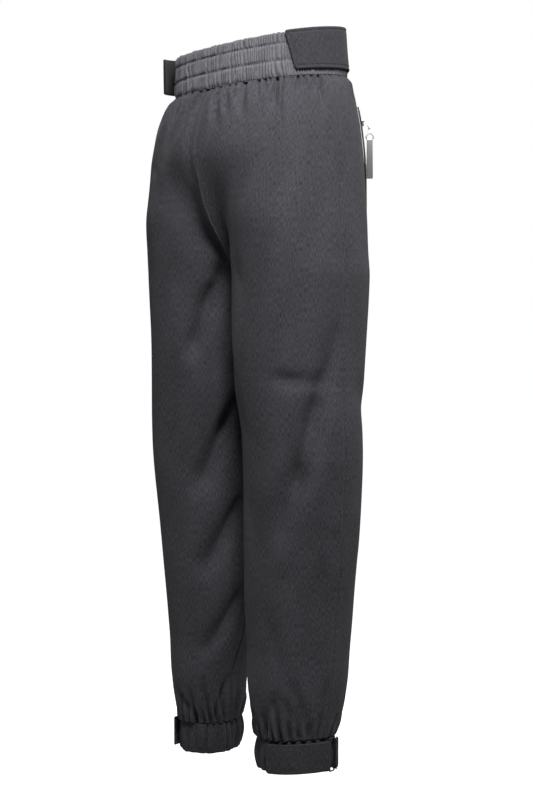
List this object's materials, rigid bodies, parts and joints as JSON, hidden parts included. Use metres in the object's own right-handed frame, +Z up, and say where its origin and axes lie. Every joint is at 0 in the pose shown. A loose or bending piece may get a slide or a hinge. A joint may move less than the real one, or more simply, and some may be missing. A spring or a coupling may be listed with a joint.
{
  "type": "joggers",
  "caption": "Filled-out woven joggers with an elastic back waistband, waist and ankle tabs, gathered ankle cuffs with wire rings, and hip zips with long hanging pulls.",
  "frame": {"origin": "inside the waistband at about its mid-height, on the centre plane, where the garment is held", "axes": "+X is the wearer's left, -Y is the wearer's front and +Z is up along the legs' length"},
  "size_m": [0.3447, 0.2376, 1.0246],
  "materials": {
    "charcoal_cloth": "matt heathered weave",
    "grey_elastic": "gathered ribbed elastic",
    "black_trim": "matt black",
    "silver_metal": "satin silver"
  },
  "bodies": {
    "joggers": {"front_left": "charcoal_cloth", "front_right": "charcoal_cloth", "back_left": "charcoal_cloth", "back_right": "charcoal_cloth", "waistband_elastic": "grey_elastic", "waistband_front": "charcoal_cloth", "waist_tab_left": "charcoal_cloth", "waist_tab_right": "charcoal_cloth", "cuff_left": "charcoal_cloth", "cuff_right": "charcoal_cloth", "ankle_tab_left": "charcoal_cloth", "ankle_tab_right": "charcoal_cloth", "ankle_loop_left": "charcoal_cloth", "ankle_loop_right": "charcoal_cloth", "ankle_ring_left": "black_trim", "ankle_ring_right": "black_trim", "pocket_zip_left": "black_trim", "pocket_zip_right": "black_trim", "zip_slider_left": "silver_metal", "zip_slider_right": "silver_metal"},
    "pull_left": {"zip_pull_left": "silver_metal"},
    "pull_right": {"zip_pull_right": "silver_metal"}
  },
  "joints": [
    {"name": "zip_pull_left_hinge", "type": "hinge", "parent": "joggers", "child": "pull_left", "pos_m": [0.14469, -0.05669, -0.10495], "axis": [-0.6446, -0.7645, 0], "range_deg": [0, 150]},
    {"name": "zip_pull_right_hinge", "type": "hinge", "parent": "joggers", "child": "pull_right", "pos_m": [-0.14469, -0.05669, -0.09365], "axis": [-0.6446, 0.7645, 0], "range_deg": [0, 150]}
  ]
}
